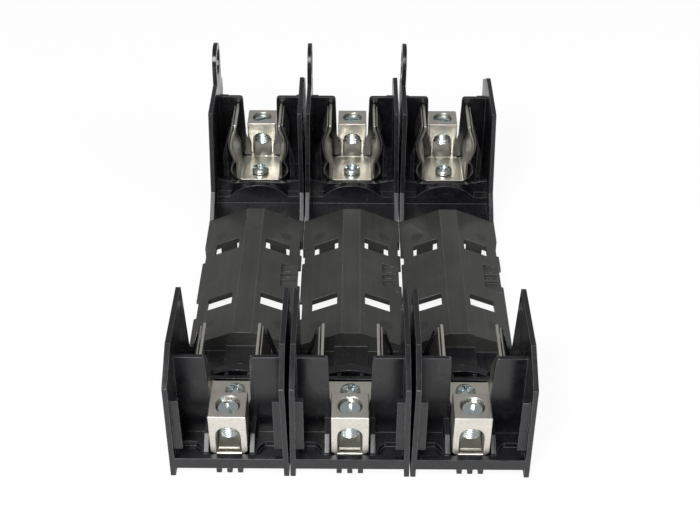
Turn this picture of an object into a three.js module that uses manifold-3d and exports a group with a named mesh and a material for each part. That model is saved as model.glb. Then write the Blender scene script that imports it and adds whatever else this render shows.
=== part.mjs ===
// A three-pole modular block for cartridge fuses, in millimetres, +Z up.
// X runs across the poles and Y along the fuses, with the line end at -Y.
// The origin is at the middle of the base plane.
import * as THREE from "three";
import { mergeVertices } from "three/addons/utils/BufferGeometryUtils.js";
import Module from "manifold-3d";

// ---- Overall sizes
const poleNames = ["left", "middle", "right"];
const polePitch = 36;
const baseLength = 176;
const wallHeight = 43;
const gap = 0.3; // clear space between pieces that touch
const overlap = 0.2; // how far moulded features run into each other
const root = 1; // how far a feature that meets a wall runs into it
const poleGap = 0.3; // clear space between neighbouring feet
const wallLean = 0.6; // how far a wall's top stands in from its foot
const wall = 1.6; // side wall thickness

// ---- Side wall outline, as distances from the end and heights
const kneeHeight = 36;
const topStart = 11.7;
const topEnd = 37.8;
const topDrop = 0.6; // the top edge falls a little towards mid-length
const leanFoot = 44.6; // where the slanted inner edge meets the toe
const leanFootHeight = 11.7;

// ---- Vault over the mounting rail
const vaultEdge = 53.1; // from the end of the base to the vault
const vaultWall = 2.4;
const crownHeight = 10.4;
const crownHalf = 3.1;
const eavesHeight = 4.3;
const skirt = 1.4;
const slotInner = 4.8;
const slotOuter = 13.4;
const slotLength = 5.9;
const slotPlaces = [-19, 12]; // where the near and far slots start, along Y
const edgeNotch = 0.9; // depth of the steps along the poles' edges
const leftNotches = [
  [-21.5, -12.5],
  [9, 18],
];
const rightNotches = [
  [-3.5, 6],
  [14, 23],
];

// ---- Mounting rail (35 mm top-hat) and its hooks
const railWidth = 35;
const railSeat = 3.3; // height of the rail flange's upper face
const railPlay = 0.4;
const hookReach = 2.6;
const hookTop = 2;
const hookBottom = 0.6;
const hookInner = 6.1;
const hookOuter = 11.9;
const hookPost = 2.2;

// ---- Wiring bay
const floorBottom = 3.3;
const floorTop = 5.2;
const stripTop = 7.4;
const stripLength = 8.6;
const barLength = 2;
const pedestalAway = 1; // clear length between the lug and the pedestal under the clip
const scoopRadius = 5.4;
const scoopAway = 1; // from the lug's pocket wall to the scoop's edge
const scoopRim = 0.6; // from the end bar to the scoop's centre
const scoopDepth = 1.8;
const scoopEdge = 1.5; // material left at the strip's inner edge
const guideRibWidth = 2.4;
const guideRibLength = 1.8;
const guideRibStart = 1.8;
const guideRibBottom = 9.8;
const guideRibTop = 29.5;
const panelThick = 1.4;
const panelTop = 36;
const panelCorner = 1.3;
const notchHalf = 6.5; // half the space for the fuse at the panels' tops
const tabHalf = 4.35; // half the space between the tabs over the terminal's plate
const tabLift = 0.4; // clear height between the plate and the tabs
const tabHeight = 3.6;
const neckHalf = 6.1; // half the space above the tabs' slopes
const neckRise = 5.4;

// ---- Sill and pit between the bay and the vault
const sillStart = 32.6;
const sillThick = 1.6;
const sillFlatHalf = 9.4;
const sillRise = 1.8;
const keyInner = 3.1; // the two small keys on the sill
const keyWidth = 1;
const archStart = 35.2;
const archEnd = 38;
const archRadius = 15.1;
const pitFloor = 2.2;
const pitHoleRadius = 2.6;
const pitHoleStretch = 1;
const linePitHole = 41.5; // from the end of the base
const loadPitHole = 48.5;

// ---- Fuse clip, one bent strip with a tongue that reaches into the lug
const clipThick = 0.9;
const webTop = 9;
const clipStart = 15.3;
const clipEnd = 31.7;
const pinchHalf = 8.4; // middle of the leaf at its narrow places
const bulge = 1.9; // how far the leaf bows out round the fuse
const lowPinch = 16.5;
const highPinch = 31.6;
const leafTop = 33.4;
const bendRadius = 1.6;
const plateHalf = 5.8; // the plate between the clip and the lug
const tongueHalf = 3.2;
const plateStep = 0.05; // how much the plate is thinner than the clip on each face
const tongueIn = 1; // from the lug's front face to the tongue's tip
const springThick = 0.5;
const springBow = 2.2;
const springTop = 33.1;
const springFootIn = 0.4; // where the bow leaves the floor, from the leaf's middle
const springInset = 1.2; // how much narrower the spring is than the clip at each edge

// ---- Buttress behind each leaf
const buttressAway = 0.1; // clear space behind the clip's spring, besides the gap
const buttressLength = 2.5;
const buttressThick = 1.65; // at its foot
const buttressTop = 31.4;
const buttressTip = 0.5; // thickness at its top
const buttressLean = 1.85; // how far its top stands in from its foot
const buttressShoulder = 24; // where its inner face starts to lean
const buttressKnee = 20.4; // where its outer face starts to lean

// ---- Clip screw and its nut
const clipScrewAt = 26.2; // from the end of the base
const clipScrewRadius = 1.9;
const clipHeadRadius = 3.2;
const clipHeadHeight = 2.2;
const clipFlatRadius = 2.4; // flat top of the head
const driveArm = 1.9;
const driveWidth = 0.9;
const driveDepth = 1.1;
const nutHalf = 3.4;
const nutThick = 2;
const nutBottom = 3.9;

// ---- Box lug and its clamping screw
const lugStart = 2.3;
const lugLength = 10.5;
const lugHalf = 5.6;
const lugBottom = 6.5;
const lugHeight = 16.1;
const lugChamfer = 1.9;
const wireHalf = 3.7;
const wireFloor = 1; // metal left under the wire opening
const wireRoof = 4.3; // metal left over the wire opening
const screwRadius = 3.4;
const screwLength = 10.2;
const screwRecess = 1.1; // how far its top lies below the lug's
const screwTipChamfer = 0.9;
const screwTopChamfer = 0.4;
const screwSlot = 1.1;
const screwSlotDepth = 1.5;
const pocketWall = 1.5;
const pocketTop = 11.5;
const pocketShoulder = 4.6; // length of the wall's sloping front
const pocketNose = 0.8; // height of that front's foot over the strip

// ---- Rail latch with its spring
const latchHalf = 4;
const latchThick = 1.8;
const latchTop = 2.9;
const latchTravel = 3.2;
const latchHeadHalf = 12;
const latchHeadLength = 7.7;
const latchLip = 1.3;
const toothInner = 0.8; // the tail's outer end is cut into three teeth
const tabNotch = 1.6;
const tabNotchLength = 1.9;
const guideThick = 1.2;
const keeperLength = 3;
const guideStart = 5.5; // from the end of the base to the guides
const keeperPlaces = [6, 33];
const springRadius = 1.1;
const springWire = 0.35;
const springLength = 9;
const springTurns = 5;
const windowStart = 8; // from the end of the base to the window in the latch's tail
const windowHalf = 1.6;
const stopThick = 2;

// ---- Lock-off ear on each left wall at the load end
const earRadius = 7.2;
const earHole = 4.9;
const earFromEnd = 10.6;
const earHeight = 49;
const earInnerRoot = 2; // how far its two sides run down into the wall
const earOuterRoot = 7;

// ---- Snap pocket between poles
const snapInner = 11;
const snapHalf = 6.4;
const snapFloor = 2;
const snapRib = 0.8;
const snapRibPlaces = [-2.6, 0.8];
const snapRibRise = 1.2;
const snapHolePlaces = [-1, 2.4];
const snapHoleStart = 1.4; // from the pocket's inner edge
const snapHoleWidth = 1.8;
const snapHoleLength = 1;

// ---- Values worked out from the ones above
const halfLength = baseLength / 2;
const halfPole = polePitch / 2 - poleGap / 2;
const wallInside = halfPole - wall - wallLean / 2;
const endY = -halfLength;
const railHalf = railWidth / 2 + railPlay;
const vaultHalf = halfLength - vaultEdge;
const webBottom = webTop - clipThick;
const springFloor = webBottom - gap - springThick;
const pedestalTop = springFloor - gap;
const lugEnd = lugStart + lugLength;
const panelStart = lugEnd + 2 * gap;
const lugTop = lugBottom + lugHeight;
const latchBottom = latchTop - latchThick;
const channelHalf = latchHalf + gap;
const channelTop = latchTop + gap;
const springHeight = latchTop - latchThick / 2;
const windowY = endY + windowStart;
const springStart = windowY + 2 * gap + stopThick;
const windowEnd = springStart + springLength + gap;
const wireArch = lugTop - wireRoof - wireHalf; // height where the opening's round top starts
const screwTop = lugTop - screwRecess;
const screwTip = screwTop - screwLength;
const roundSteps = 24;

const wasm = await Module();
wasm.setup();

// ---- Solids from three.js geometry

// Turns a closed geometry into a solid that can be joined and cut.
function solidOf(geometry) {
  const bare = geometry.index ? geometry.toNonIndexed() : geometry;
  bare.deleteAttribute("normal");
  bare.deleteAttribute("uv");
  const merged = mergeVertices(bare, 1e-4);
  return new wasm.Manifold(
    new wasm.Mesh({
      numProp: 3,
      vertProperties: merged.attributes.position.array,
      triVerts: new Uint32Array(merged.index.array),
    }),
  );
}

// Turns a solid back into a geometry with flat faces.
function geometryOf(solid) {
  const mesh = solid.getMesh();
  const geometry = new THREE.BufferGeometry();
  geometry.setAttribute("position", new THREE.BufferAttribute(mesh.vertProperties, 3));
  geometry.setIndex(new THREE.BufferAttribute(mesh.triVerts, 1));
  const flat = geometry.toNonIndexed();
  flat.computeVertexNormals();
  return flat;
}

const joined = (solids) => solids.reduce((whole, piece) => whole.add(piece));
const cutBy = (body, tools) => tools.reduce((rest, tool) => rest.subtract(tool), body);
const points = (list) => list.map(([u, v]) => new THREE.Vector2(u, v));

function extruded(shape, length, basis, curveSegments) {
  const geometry = new THREE.ExtrudeGeometry(shape, {
    depth: length,
    bevelEnabled: false,
    curveSegments,
  });
  return solidOf(geometry.applyMatrix4(basis));
}

// An outline of (y, z) points swept along X from x0 to x1.
function alongX(shape, x0, x1, curveSegments = roundSteps / 4) {
  const basis = new THREE.Matrix4().makeBasis(
    new THREE.Vector3(0, 1, 0),
    new THREE.Vector3(0, 0, 1),
    new THREE.Vector3(1, 0, 0),
  );
  return extruded(shape, x1 - x0, basis.setPosition(x0, 0, 0), curveSegments);
}

// An outline of (x, z) points swept along Y from y0 to y1.
function alongY(shape, y0, y1, curveSegments = roundSteps / 4) {
  const basis = new THREE.Matrix4().makeBasis(
    new THREE.Vector3(1, 0, 0),
    new THREE.Vector3(0, 0, 1),
    new THREE.Vector3(0, -1, 0),
  );
  return extruded(shape, y1 - y0, basis.setPosition(0, y1, 0), curveSegments);
}

// An outline of (x, y) points swept up from z0 to z1.
function upright(shape, z0, z1) {
  return extruded(shape, z1 - z0, new THREE.Matrix4().setPosition(0, 0, z0), 1);
}

function box(x0, x1, y0, y1, z0, z1) {
  const geometry = new THREE.BoxGeometry(x1 - x0, y1 - y0, z1 - z0);
  geometry.translate((x0 + x1) / 2, (y0 + y1) / 2, (z0 + z1) / 2);
  return solidOf(geometry);
}

// A turned piece on a vertical axis at (x, y), from a profile of (radius, z) points.
function turned(profile, x, y, steps = roundSteps) {
  const geometry = new THREE.LatheGeometry(points(profile), steps);
  return solidOf(geometry.rotateX(Math.PI / 2).translate(x, y, 0));
}

function disc(radius, x, y, z0, z1, steps = roundSteps) {
  const profile = [
    [0, z0],
    [radius, z0],
    [radius, z1],
    [0, z1],
  ];
  return turned(profile, x, y, steps);
}

const bothSides = (make) => [make(1), make(-1)];

// A box whose X range is given on one side and mirrored to the other by side = -1.
function sideBox(side, inner, outer, y0, y1, z0, z1) {
  const [x0, x1] = side > 0 ? [inner, outer] : [-outer, -inner];
  return box(x0, x1, y0, y1, z0, z1);
}

// Turns a line-end solid round to the load end.
const atLoadEnd = (solid) => solid.rotate([0, 0, 180]);

// ---- Moulded base

function wallOutline() {
  const half = [
    [endY, 0],
    [endY, kneeHeight],
    [endY + topStart, wallHeight],
    [endY + topEnd, wallHeight - topDrop],
    [endY + leanFoot, leanFootHeight],
    [endY + vaultEdge, eavesHeight],
  ];
  const mirrored = half.map(([y, z]) => [-y, z]).reverse();
  return new THREE.Shape(points([...half, ...mirrored]));
}

// Leans an upright wall piece in by wallLean from its foot to the wall's top.
function leaned(solid, side) {
  const slope = -side * (wallLean / wallHeight);
  const lean = new THREE.Matrix4().set(1, 0, slope, 0, 0, 1, 0, 0, 0, 0, 1, 0, 0, 0, 0, 1);
  return solidOf(geometryOf(solid).applyMatrix4(lean));
}

function sideWall(side) {
  const x0 = side > 0 ? halfPole - wall : -halfPole;
  return leaned(alongX(wallOutline(), x0, x0 + wall), side);
}

// The tab with a padlock hole that stands on the left wall at the load end.
function lockEar() {
  const y = -endY - earFromEnd;
  const tab = new THREE.Shape();
  tab.moveTo(y - earRadius, wallHeight - earInnerRoot);
  tab.lineTo(y + earRadius, wallHeight - earOuterRoot);
  tab.lineTo(y + earRadius, earHeight);
  tab.absarc(y, earHeight, earRadius, 0, Math.PI, false);
  const hole = new THREE.Path();
  hole.absarc(y, earHeight, earHole, 0, 2 * Math.PI, true);
  tab.holes.push(hole);
  return leaned(alongX(tab, -halfPole, -halfPole + wall, 8), -1);
}

// Height of the vault's outer face at a distance from the middle of the pole.
const flankSlope = (crownHeight - eavesHeight) / (halfPole - crownHalf);
const vaultTopAt = (x) => crownHeight - flankSlope * Math.max(0, x - crownHalf);

function vault() {
  const outer = [
    [-halfPole, eavesHeight],
    [-crownHalf, crownHeight],
    [crownHalf, crownHeight],
    [halfPole, eavesHeight],
  ];
  const inner = outer.map(([x, z]) => [x, z - vaultWall]).reverse();
  const shell = alongY(new THREE.Shape(points([...outer, ...inner])), -vaultHalf, vaultHalf);
  const filled = new THREE.Shape(points([...outer, [halfPole, 0], [-halfPole, 0]]));
  const endWalls = [
    alongY(filled, -vaultHalf, -vaultHalf + skirt),
    alongY(filled, vaultHalf - skirt, vaultHalf),
  ];
  const skirts = bothSides((side) =>
    sideBox(side, halfPole - skirt, halfPole, -vaultHalf, vaultHalf, 0, eavesHeight - overlap),
  );
  return joined([shell, ...endWalls, ...skirts]);
}

// The slots through the flanks, which stand over the rail's two edges.
function vaultSlots() {
  return slotPlaces.flatMap((y) =>
    bothSides((side) => sideBox(side, slotInner, slotOuter, y, y + slotLength, 1, crownHeight + 1)),
  );
}

// Fixed hooks that catch the rail's load-side edge.
function fixedHook(side) {
  const post = [
    [hookInner, hookBottom],
    [hookOuter, hookBottom],
    [hookOuter, vaultTopAt(hookOuter) - vaultWall / 2],
    [hookInner, vaultTopAt(hookInner) - vaultWall / 2],
  ];
  const outline = new THREE.Shape(points(post.map(([x, z]) => [side * x, z])));
  const lipStart = railHalf - hookReach;
  return alongY(outline, railHalf, railHalf + hookPost).add(
    sideBox(side, hookInner, hookOuter, lipStart, railHalf + overlap, hookBottom, hookTop),
  );
}

// Shallow steps along the poles' edges, which leave light gaps between neighbours.
function edgeNotches() {
  const reach = halfPole + 1;
  const inner = halfPole - edgeNotch;
  const notch = (side) => ([y0, y1]) => sideBox(side, inner, reach, y0, y1, -1, crownHeight);
  return [...leftNotches.map(notch(-1)), ...rightNotches.map(notch(1))];
}

// The pocket at the right edge where the next pole's tongue snaps in, with two ribs on its floor.
function snapPocket() {
  const top = crownHeight + 1;
  const clearance = box(snapInner, halfPole + 1, -snapHalf, snapHalf, railSeat + snapFloor, top);
  const x0 = snapInner + snapHoleStart;
  const holes = snapHolePlaces.map((y) =>
    box(x0, x0 + snapHoleWidth, y, y + snapHoleLength, -1, top),
  );
  return [clearance, ...holes];
}

function snapRibs() {
  const top = railSeat + snapFloor + snapRibRise;
  return snapRibPlaces.map((y) =>
    box(snapInner - overlap, halfPole - 2 * root, y, y + snapRib, railSeat + root, top),
  );
}

// The bottom of the pocket, below the vault's flank.
function snapTray() {
  return box(
    snapInner - root,
    halfPole - edgeNotch,
    -snapHalf - root,
    snapHalf + root,
    railSeat,
    railSeat + snapFloor,
  );
}

// ---- One end of the base, at the line end; the load end is the same turned round

function bayFloor() {
  const y = endY;
  const reach = wallInside + root;
  const stripInner = lugHalf + gap + overlap + pocketWall / 2;
  const slab = box(-reach, reach, y, y + archEnd, floorBottom, floorTop);
  const bar = box(-reach, reach, y, y + barLength, floorBottom, stripTop);
  const strips = bothSides((side) =>
    sideBox(side, stripInner, reach, y, y + stripLength, floorTop - overlap, stripTop),
  );
  const pedestalHalf = pinchHalf + bendRadius;
  const pedestal = box(
    -pedestalHalf,
    pedestalHalf,
    y + lugEnd + pedestalAway,
    y + sillStart + overlap,
    floorTop - overlap,
    pedestalTop,
  );
  return joined([slab, bar, ...strips, pedestal]);
}

// A round hollow on each side of the lug, where the wire's insulation sits.
function scoop(side) {
  const x = side * (lugHalf + pocketWall + scoopRadius + scoopAway);
  const y = endY + barLength;
  const inside = wallInside - gap;
  return disc(scoopRadius, x, y + scoopRim, stripTop - scoopDepth, stripTop + 1, 20).intersect(
    box(-inside, inside, y, endY + stripLength - scoopEdge, 0, wallHeight),
  );
}

function lugPocketWall(side) {
  const inner = lugHalf + gap + overlap;
  const y = endY + barLength;
  const back = endY + panelStart + overlap;
  const outline = new THREE.Shape(
    points([
      [y, floorBottom],
      [back, floorBottom],
      [back, pocketTop],
      [y + pocketShoulder, pocketTop],
      [y, stripTop + pocketNose],
    ]),
  );
  const x0 = side > 0 ? inner : -inner - pocketWall;
  return alongX(outline, x0, x0 + pocketWall);
}

function guideRib(side) {
  const y = endY + guideRibStart;
  const outer = halfPole - wall / 2 - wallLean;
  const inner = wallInside - guideRibWidth;
  return sideBox(side, inner, outer, y, y + guideRibLength, guideRibBottom, guideRibTop);
}

// Half of a finger guard, with the fuse's space beside it and a tab that closes in over the plate.
function panel(side) {
  const y = endY + panelStart;
  const outer = halfPole - wall / 2 - wallLean;
  const foot = plateHalf + gap;
  const tabBottom = webTop + tabLift;
  const tabTop = tabBottom + tabHeight;
  const shape = new THREE.Shape();
  shape.moveTo(side * outer, floorBottom);
  shape.lineTo(side * foot, floorBottom);
  shape.lineTo(side * foot, tabBottom);
  shape.lineTo(side * tabHalf, tabBottom);
  shape.lineTo(side * tabHalf, tabTop);
  shape.lineTo(side * neckHalf, tabTop + neckRise);
  shape.lineTo(side * notchHalf, panelTop - panelCorner);
  shape.quadraticCurveTo(side * notchHalf, panelTop, side * (notchHalf + panelCorner), panelTop);
  shape.lineTo(side * outer, panelTop);
  return alongY(shape, y, y + panelThick, 3);
}

// The thin upright behind each clip leaf that stops it from being bent outwards.
function buttress(side) {
  const inner = pinchHalf + bulge + clipThick / 2 + springThick + 2 * gap + buttressAway;
  const outline = [
    [inner, floorBottom],
    [inner, buttressShoulder],
    [inner - buttressLean, buttressTop],
    [inner - buttressLean + buttressTip, buttressTop],
    [inner + buttressThick, buttressKnee],
    [inner + buttressThick, floorBottom],
  ];
  const shape = new THREE.Shape(points(outline.map(([x, z]) => [side * x, z])));
  const y = endY + clipEnd - buttressLength;
  return alongY(shape, y, y + buttressLength);
}

// The wall between the bay and the pit, with the arched rib in front of it.
function sill() {
  const outer = wallInside + root;
  const wallShape = new THREE.Shape(
    points([
      [-outer, 0],
      [outer, 0],
      [outer, webTop + sillRise],
      [sillFlatHalf, webTop],
      [-sillFlatHalf, webTop],
      [-outer, webTop + sillRise],
    ]),
  );
  const back = alongY(wallShape, endY + sillStart, endY + sillStart + sillThick);
  const centre = crownHeight - archRadius;
  const spring = Math.sqrt(archRadius ** 2 - (pitFloor - centre) ** 2);
  const start = Math.atan2(pitFloor - centre, spring);
  const arch = new THREE.Shape();
  arch.moveTo(-spring, 0);
  arch.lineTo(spring, 0);
  arch.absarc(0, centre, archRadius, start, Math.PI - start, false);
  const rib = alongY(arch, endY + archStart, endY + archEnd, 14);
  const foot = box(-outer, outer, endY + sillStart, endY + archEnd, 0, floorTop);
  const keys = bothSides((side) =>
    sideBox(
      side,
      keyInner,
      keyInner + keyWidth,
      endY + sillStart,
      endY + archEnd - root,
      floorTop - root,
      webTop,
    ),
  );
  return joined([back, rib, foot, ...keys]);
}

// The lengths of the pit between the sill and the vault, run a little into both.
const pitRange = () => [endY + archEnd - overlap, endY + vaultEdge + overlap];

function pit() {
  const inWall = halfPole - wall / 2;
  return box(-inWall, inWall, ...pitRange(), 0, pitFloor);
}

// The cover over the latch's tail, across the line end's pit.
function tailTunnel() {
  const reach = channelHalf + guideThick;
  return box(-reach, reach, ...pitRange(), 0, channelTop + guideThick);
}

// A slotted hole for a mounting screw, at a distance from the end of the base.
function pitHole(fromEnd) {
  const y = endY + fromEnd;
  const reach = pitHoleStretch / 2;
  const ends = [y - reach, y + reach].map((at) => disc(pitHoleRadius, 0, at, -1, crownHeight, 16));
  const middle = box(-pitHoleRadius, pitHoleRadius, y - reach, y + reach, -1, crownHeight);
  return joined([...ends, middle]);
}

const nutHole = () =>
  disc(clipScrewRadius + gap, 0, endY + clipScrewAt, nutBottom, pedestalTop + 1, 16).add(
    box(
      -nutHalf - gap,
      nutHalf + gap,
      endY + clipScrewAt - nutHalf - gap,
      endY + clipScrewAt + nutHalf + gap,
      channelTop - overlap,
      nutBottom + nutThick + gap,
    ),
  );

// Moulded walls that guide the latch's tail under the line end, with keepers that carry it.
function latchGuides() {
  const y0 = endY + guideStart;
  const y1 = endY + archEnd;
  const rails = bothSides((side) =>
    sideBox(side, channelHalf, channelHalf + guideThick, y0, y1, 0, floorTop - overlap),
  );
  const reach = channelHalf + guideThick;
  const keepers = keeperPlaces.map((place) =>
    box(-reach, reach, endY + place, endY + place + keeperLength, 0, latchBottom - gap),
  );
  return { rails, keepers };
}

// The peg that the latch's spring pushes against.
function springStop() {
  const y = windowY + gap;
  return box(-windowHalf + gap, windowHalf - gap, y, y + stopThick, latchBottom, floorTop);
}

function latchChannel() {
  const tail = box(-channelHalf, channelHalf, endY - 1, -vaultHalf + 2 * skirt, -1, channelTop);
  const relief = springHeight + springRadius + gap;
  const overSpring = box(-windowHalf, windowHalf, windowY, windowEnd, 0, relief);
  return tail.add(overSpring);
}

function poleBase() {
  const linePieces = [
    bayFloor(),
    ...bothSides(lugPocketWall),
    ...bothSides(guideRib),
    ...bothSides(panel),
    ...bothSides(buttress),
    sill(),
    pit(),
  ];
  const loadPieces = linePieces.map(atLoadEnd);
  const { rails, keepers } = latchGuides();
  const body = joined([
    ...bothSides(sideWall),
    lockEar(),
    vault(),
    snapTray(),
    ...linePieces,
    ...loadPieces,
    tailTunnel(),
    ...rails,
  ]);
  const railChannel = box(-halfPole - 1, halfPole + 1, -railHalf, railHalf, -1, railSeat);
  const bothEndCuts = [...bothSides(scoop), nutHole(), lugSeat()];
  const cut = cutBy(body, [
    railChannel,
    latchChannel(),
    ...vaultSlots(),
    ...edgeNotches(),
    ...snapPocket(),
    ...bothEndCuts,
    ...bothEndCuts.map(atLoadEnd),
    pitHole(linePitHole),
    atLoadEnd(pitHole(loadPitHole)),
  ]);
  return joined([cut, ...bothSides(fixedHook), ...snapRibs(), ...keepers, springStop()]);
}

// The pocket that holds the lug by its foot.
function lugSeat() {
  const y = endY + lugStart - gap;
  return box(-lugHalf - gap, lugHalf + gap, y, y + lugLength + 2 * gap, lugBottom - gap, wallHeight);
}

// ---- Metal pieces of one end

// Half the space between the middles of the leaves, at a height above the base plane.
function leafHalf(z) {
  if (z <= lowPinch || z >= highPinch) return pinchHalf;
  return pinchHalf + bulge * Math.sin((Math.PI * (z - lowPinch)) / (highPinch - lowPinch));
}

// A strip's closed outline from its middle line: offset by half its thickness on each side.
function stripOutline(middle, thickness) {
  const side = (sign) =>
    middle.map(([u, v], i) => {
      const [u0, v0] = middle[Math.max(0, i - 1)];
      const [u1, v1] = middle[Math.min(middle.length - 1, i + 1)];
      const length = Math.hypot(u1 - u0, v1 - v0);
      const reach = (sign * thickness) / 2 / length;
      return [u - (v1 - v0) * reach, v + (u1 - u0) * reach];
    });
  return new THREE.Shape(points([...side(1), ...side(-1).reverse()]));
}

const stations = (from, to, count) =>
  Array.from({ length: count + 1 }, (_, i) => from + ((to - from) * i) / count);

// A right-hand half of a bent strip with its mirror image, joined at the middle line.
const withMirror = (half) => [...half.map(([x, z]) => [-x, z]).reverse(), ...half];

function clipOutline() {
  const bendCentre = pinchHalf - bendRadius;
  const middleHeight = webTop - clipThick / 2;
  const bend = stations(-Math.PI / 2, 0, 3).map((a) => [
    bendCentre + bendRadius * Math.cos(a),
    middleHeight + bendRadius * (1 + Math.sin(a)),
  ]);
  const leaf = stations(lowPinch, highPinch, 8).map((z) => [leafHalf(z), z]);
  return stripOutline(withMirror([...bend, ...leaf, [pinchHalf, leafTop]]), clipThick);
}

function fuseClip() {
  const y0 = endY + clipStart;
  const y1 = endY + clipEnd;
  const strip = alongY(clipOutline(), y0, y1);
  const plateStart = endY + lugEnd + gap;
  const tongueStart = endY + lugStart + tongueIn;
  const half = [
    [tongueHalf, tongueStart],
    [tongueHalf, plateStart],
    [plateHalf, plateStart],
    [plateHalf, y0 + root],
  ];
  const mirrored = half.map(([x, y]) => [-x, y]).reverse();
  const outline = new THREE.Shape(points([...half, ...mirrored]));
  const plate = upright(outline, webBottom + plateStep, webTop - plateStep);
  return strip.add(plate).subtract(
    disc(clipScrewRadius + gap, 0, endY + clipScrewAt, webBottom - 1, webTop + 1, 16),
  );
}

// The steel spring that wraps the clip from outside and bows out below the lower pinch.
function clipSpring() {
  const away = clipThick / 2 + gap + springThick / 2;
  const base = springFloor + springThick / 2;
  const foot = pinchHalf - springFootIn;
  const bow = stations(0, 1, 6).map((t) => [
    foot + (pinchHalf + away - foot) * t + springBow * Math.sin(Math.PI * t),
    base + (lowPinch - base) * t,
  ]);
  const grip = stations(lowPinch, springTop, 6)
    .slice(1)
    .map((z) => [leafHalf(z) + away, z]);
  const outline = stripOutline(withMirror([...bow, ...grip]), springThick);
  const strip = alongY(outline, endY + clipStart + springInset, endY + clipEnd - springInset);
  return strip.subtract(disc(clipScrewRadius + gap, 0, endY + clipScrewAt, 0, webTop, 16));
}

function clipScrew() {
  const head = webTop + gap;
  const tip = nutBottom - gap;
  const profile = [
    [0, tip],
    [clipScrewRadius, tip],
    [clipScrewRadius, head],
    [clipHeadRadius, head],
    [clipHeadRadius, head + clipHeadHeight / 2],
    [clipFlatRadius, head + clipHeadHeight],
    [0, head + clipHeadHeight],
  ];
  const y = endY + clipScrewAt;
  const body = turned(profile, 0, y, 16);
  const top = head + clipHeadHeight;
  const z0 = top - driveDepth;
  const half = driveWidth / 2;
  return cutBy(body, [
    box(-driveArm, driveArm, y - half, y + half, z0, top + 1),
    box(-half, half, y - driveArm, y + driveArm, z0, top + 1),
  ]);
}

function clipNut() {
  const y = endY + clipScrewAt;
  const square = box(-nutHalf, nutHalf, y - nutHalf, y + nutHalf, nutBottom, nutBottom + nutThick);
  return square.subtract(disc(clipScrewRadius + gap, 0, y, 0, wallHeight, 16));
}

function boxLug() {
  const y0 = endY + lugStart;
  const outline = new THREE.Shape(
    points([
      [-lugHalf + lugChamfer, lugBottom],
      [lugHalf - lugChamfer, lugBottom],
      [lugHalf, lugBottom + lugChamfer],
      [lugHalf, lugTop],
      [-lugHalf, lugTop],
      [-lugHalf, lugBottom + lugChamfer],
    ]),
  );
  const floor = lugBottom + wireFloor;
  const opening = new THREE.Shape();
  opening.moveTo(-wireHalf, floor);
  opening.lineTo(wireHalf, floor);
  opening.lineTo(wireHalf, wireArch);
  opening.absarc(0, wireArch, wireHalf, 0, Math.PI, false);
  const middle = y0 + lugLength / 2;
  return cutBy(alongY(outline, y0, y0 + lugLength), [
    alongY(opening, y0 - 1, y0 + lugLength + 1),
    disc(screwRadius + gap, 0, middle, wireArch, lugTop + 1),
  ]);
}

function lugScrew() {
  const y = endY + lugStart + lugLength / 2;
  const body = turned(
    [
      [0, screwTip],
      [screwRadius - screwTipChamfer, screwTip],
      [screwRadius, screwTip + screwTipChamfer],
      [screwRadius, screwTop - screwTopChamfer],
      [screwRadius - screwTopChamfer, screwTop],
      [0, screwTop],
    ],
    0,
    y,
  );
  const half = screwSlot / 2;
  const slot = box(-screwRadius, screwRadius, y - half, y + half, screwTop - screwSlotDepth, lugTop);
  return body.subtract(slot);
}

// ---- Rail latch, which pulls out at the line end

function railLatch() {
  const headY = -railHalf - gap - latchHeadLength;
  const headEnd = headY + latchHeadLength;
  const tail = box(-latchHalf, latchHalf, endY + gap, headY + root, latchBottom, latchTop);
  const lipTop = hookBottom + latchLip;
  const head = box(-latchHeadHalf, latchHeadHalf, headY, headEnd, hookBottom, latchTop);
  const lips = bothSides((side) =>
    sideBox(
      side,
      hookInner,
      latchHeadHalf,
      headEnd - root,
      headEnd + hookReach,
      hookBottom,
      lipTop,
    ),
  );
  const springWindow = box(-windowHalf, windowHalf, windowY, windowEnd, 0, railSeat);
  const passageHalf = pitHoleRadius + gap;
  const passageY = endY + linePitHole;
  const passageReach = pitHoleStretch / 2 + pitHoleRadius + gap;
  const screwPassage = box(
    -passageHalf,
    passageHalf,
    passageY - passageReach,
    passageY + passageReach + latchTravel,
    0,
    railSeat,
  );
  const notches = bothSides((side) =>
    sideBox(side, toothInner, toothInner + tabNotch, endY, endY + gap + tabNotchLength, 0, railSeat),
  );
  return cutBy(joined([tail, head, ...lips]), [springWindow, screwPassage, ...notches]);
}

// A helix of springTurns turns about an axis along Y, with its ends inside the window.
class SpringPath extends THREE.Curve {
  getPoint(t, target = new THREE.Vector3()) {
    const angle = 2 * Math.PI * springTurns * t;
    const reach = springRadius - springWire / 2;
    return target.set(
      reach * Math.cos(angle),
      springStart + springWire / 2 + (springLength - springWire) * t,
      springHeight + reach * Math.sin(angle),
    );
  }
}

function latchSpring() {
  const section = new THREE.Shape();
  section.absarc(0, 0, springWire / 2, 0, 2 * Math.PI, false);
  const geometry = new THREE.ExtrudeGeometry(section, {
    steps: springTurns * 8,
    curveSegments: 3,
    extrudePath: new SpringPath(),
  });
  return solidOf(geometry);
}

// ---- Materials and the scene graph

const finish = (color, roughness, metalness) => () =>
  new THREE.MeshStandardMaterial({ color, roughness, metalness });
const blackPlastic = finish(0x1b1b1e, 0.5, 0);
const tinPlate = finish(0xb8b5a8, 0.35, 1);
const zincPlate = finish(0xb9c4c8, 0.3, 1);
const aluminium = finish(0xc2bfb6, 0.4, 1);
const springSteel = finish(0x9a9a98, 0.35, 1);

function piece(name, solid, material) {
  const mesh = new THREE.Mesh(geometryOf(solid), material());
  mesh.name = name;
  return mesh;
}

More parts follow.
